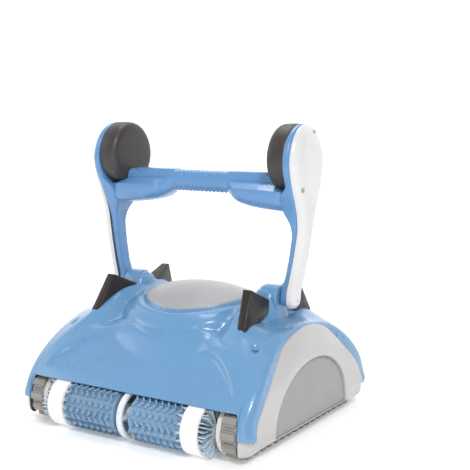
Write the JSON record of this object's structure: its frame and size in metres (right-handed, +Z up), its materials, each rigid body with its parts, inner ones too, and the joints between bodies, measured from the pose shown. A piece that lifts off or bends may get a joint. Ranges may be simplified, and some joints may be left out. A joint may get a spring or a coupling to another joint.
{
  "type": "pool cleaner",
  "caption": "Tracked robotic pool cleaner with an arched body, driven roller brushes, a centre outlet cap and a swinging float handle.",
  "frame": {"origin": "on the ground under the middle of the body", "axes": "+X to the body's right seen from behind the front brush, +Y to the rear, +Z up"},
  "size_m": [0.396, 0.4232, 0.449],
  "materials": {
    "shell_blue": "moulded, semi-gloss",
    "handle_blue": "moulded, semi-gloss",
    "chassis_grey": "moulded, satin",
    "panel_grey": "moulded, satin",
    "inset_grey": "moulded, satin",
    "fin_dark": "smooth, soft sheen",
    "cap_grey": "moulded, fine grain",
    "grille_blue": "moulded",
    "motor_grey": "moulded",
    "seal_rubber": "smooth",
    "motor_steel": "drawn can",
    "board_green": "lacquered",
    "gland_rubber": "smooth",
    "track_rubber": "moulded rubber",
    "steel": "turned",
    "bracket_white": "moulded",
    "wheel_white": "moulded",
    "core_white": "moulded",
    "brush_blue": "soft moulded",
    "ring_white": "soft sponge, smooth skin",
    "impeller_dark": "moulded",
    "float_dark": "closed foam, satin skin",
    "cover_white": "moulded, gloss",
    "button_dark": "smooth",
    "lid_grey": "moulded",
    "frame_white": "moulded",
    "bag_fabric": "woven filter cloth",
    "flap_rubber": "smooth"
  },
  "bodies": {
    "body": {"top_shell": "shell_blue", "chassis": "chassis_grey", "side_panel_left": "panel_grey", "side_panel_right": "panel_grey", "side_inset_left": "inset_grey", "side_inset_right": "inset_grey", "fin_front_left": "fin_dark", "fin_front_right": "fin_dark", "fin_rear_left": "fin_dark", "fin_rear_right": "fin_dark", "outlet_cap": "cap_grey", "outlet_grille": "grille_blue", "motor_housing": "motor_grey", "motor_housing_lid": "motor_grey", "seals": "seal_rubber", "pump_motor": "motor_steel", "drive_motors": "motor_steel", "control_board": "board_green", "cable_gland": "gland_rubber", "track_left": "track_rubber", "track_right": "track_rubber", "pivot_pins": "steel", "body_screws": "steel", "brush_bracket_front": "bracket_white", "brush_bracket_rear": "bracket_white"},
    "wheel_front_left": {"wheel_front_left": "wheel_white"},
    "brush_front_left": {"brush_front_left": "brush_blue", "brush_core_front_left": "core_white", "climbing_ring_front_left": "ring_white"},
    "wheel_front_right": {"wheel_front_right": "wheel_white"},
    "brush_front_right": {"brush_front_right": "brush_blue", "brush_core_front_right": "core_white", "climbing_ring_front_right": "ring_white"},
    "wheel_rear_left": {"wheel_rear_left": "wheel_white"},
    "brush_rear_left": {"brush_rear_left": "brush_blue", "brush_core_rear_left": "core_white", "climbing_ring_rear_left": "ring_white"},
    "wheel_rear_right": {"wheel_rear_right": "wheel_white"},
    "brush_rear_right": {"brush_rear_right": "brush_blue", "brush_core_rear_right": "core_white", "climbing_ring_rear_right": "ring_white"},
    "drive_pulley_left": {"drive_pulley_left": "wheel_white"},
    "guide_wheel_left": {"guide_wheel_left": "wheel_white"},
    "lock_button_left": {"lock_button_left": "button_dark"},
    "drive_pulley_right": {"drive_pulley_right": "wheel_white"},
    "guide_wheel_right": {"guide_wheel_right": "wheel_white"},
    "lock_button_right": {"lock_button_right": "button_dark"},
    "impeller": {"impeller": "impeller_dark"},
    "handle": {"handle_frame": "handle_blue", "float_pad_left": "float_dark", "float_pad_right": "float_dark", "arm_cover_left": "cover_white", "arm_cover_right": "cover_white", "handle_screws": "steel"},
    "lid": {"bottom_lid": "lid_grey", "filter_frame": "frame_white", "filter_bag": "bag_fabric"},
    "inlet_flap_front": {"inlet_flap_front": "flap_rubber"},
    "inlet_flap_rear": {"inlet_flap_rear": "flap_rubber"}
  },
  "joints": [
    {"name": "handle_swing", "type": "hinge", "parent": "body", "child": "handle", "pos_m": [0, 0, 0.192], "axis": [1, 0, 0], "range_deg": [-35, 35]},
    {"name": "lock_button_left_press", "type": "slide", "parent": "body", "child": "lock_button_left", "axis": [-1, 0, 0], "range_m": [0, 0.003], "stiffness_N_per_m": 600},
    {"name": "lock_button_right_press", "type": "slide", "parent": "body", "child": "lock_button_right", "axis": [1, 0, 0], "range_m": [0, 0.003], "stiffness_N_per_m": 600},
    {"name": "wheel_front_left_spin", "type": "hinge", "parent": "body", "child": "wheel_front_left", "pos_m": [-0.165, -0.155, 0.0395], "axis": [1, 0, 0], "continuous": true},
    {"name": "wheel_rear_left_spin", "type": "hinge", "parent": "body", "child": "wheel_rear_left", "pos_m": [-0.165, 0.155, 0.0395], "axis": [1, 0, 0], "continuous": true},
    {"name": "brush_front_left_spin", "type": "hinge", "parent": "body", "child": "brush_front_left", "pos_m": [-0.07, -0.17484, 0.037], "axis": [1, 0, 0], "continuous": true},
    {"name": "brush_rear_left_spin", "type": "hinge", "parent": "body", "child": "brush_rear_left", "pos_m": [-0.07, 0.17484, 0.037], "axis": [1, 0, 0], "continuous": true},
    {"name": "drive_pulley_left_spin", "type": "hinge", "parent": "body", "child": "drive_pulley_left", "pos_m": [-0.165, 0, 0.088], "axis": [1, 0, 0], "continuous": true},
    {"name": "guide_wheel_left_spin", "type": "hinge", "parent": "body", "child": "guide_wheel_left", "pos_m": [-0.165, -0.07, 0.0196], "axis": [1, 0, 0], "continuous": true},
    {"name": "wheel_front_right_spin", "type": "hinge", "parent": "body", "child": "wheel_front_right", "pos_m": [0.165, -0.155, 0.0395], "axis": [1, 0, 0], "continuous": true},
    {"name": "wheel_rear_right_spin", "type": "hinge", "parent": "body", "child": "wheel_rear_right", "pos_m": [0.165, 0.155, 0.0395], "axis": [1, 0, 0], "continuous": true},
    {"name": "brush_front_right_spin", "type": "hinge", "parent": "body", "child": "brush_front_right", "pos_m": [0.07, -0.17484, 0.037], "axis": [1, 0, 0], "continuous": true},
    {"name": "brush_rear_right_spin", "type": "hinge", "parent": "body", "child": "brush_rear_right", "pos_m": [0.07, 0.17484, 0.037], "axis": [1, 0, 0], "continuous": true},
    {"name": "drive_pulley_right_spin", "type": "hinge", "parent": "body", "child": "drive_pulley_right", "pos_m": [0.165, 0, 0.088], "axis": [1, 0, 0], "continuous": true},
    {"name": "guide_wheel_right_spin", "type": "hinge", "parent": "body", "child": "guide_wheel_right", "pos_m": [0.165, -0.07, 0.0196], "axis": [1, 0, 0], "continuous": true},
    {"name": "impeller_spin", "type": "hinge", "parent": "body", "child": "impeller", "pos_m": [0, 0, 0.15], "axis": [0, 0, 1], "continuous": true},
    {"name": "lid_drop", "type": "slide", "parent": "body", "child": "lid", "axis": [0, 0, -1], "range_m": [0, 0.09]},
    {"name": "inlet_flap_front_lift", "type": "hinge", "parent": "lid", "child": "inlet_flap_front", "pos_m": [0, -0.052, 0.0183], "axis": [-1, 0, 0], "range_deg": [0, 60]},
    {"name": "inlet_flap_rear_lift", "type": "hinge", "parent": "lid", "child": "inlet_flap_rear", "pos_m": [0, 0.052, 0.0183], "axis": [1, 0, 0], "range_deg": [0, 60]}
  ],
  "couplings": [
    {"joint": "wheel_rear_left_spin", "follows": "wheel_front_left_spin", "ratio": 1},
    {"joint": "brush_front_left_spin", "follows": "wheel_front_left_spin", "ratio": 3.5},
    {"joint": "brush_rear_left_spin", "follows": "wheel_front_left_spin", "ratio": 3.5},
    {"joint": "drive_pulley_left_spin", "follows": "wheel_front_left_spin", "ratio": 1.7059},
    {"joint": "guide_wheel_left_spin", "follows": "wheel_front_left_spin", "ratio": 2.6583},
    {"joint": "wheel_rear_right_spin", "follows": "wheel_front_right_spin", "ratio": 1},
    {"joint": "brush_front_right_spin", "follows": "wheel_front_right_spin", "ratio": 3.5},
    {"joint": "brush_rear_right_spin", "follows": "wheel_front_right_spin", "ratio": 3.5},
    {"joint": "drive_pulley_right_spin", "follows": "wheel_front_right_spin", "ratio": 1.7059},
    {"joint": "guide_wheel_right_spin", "follows": "wheel_front_right_spin", "ratio": 2.6583}
  ]
}
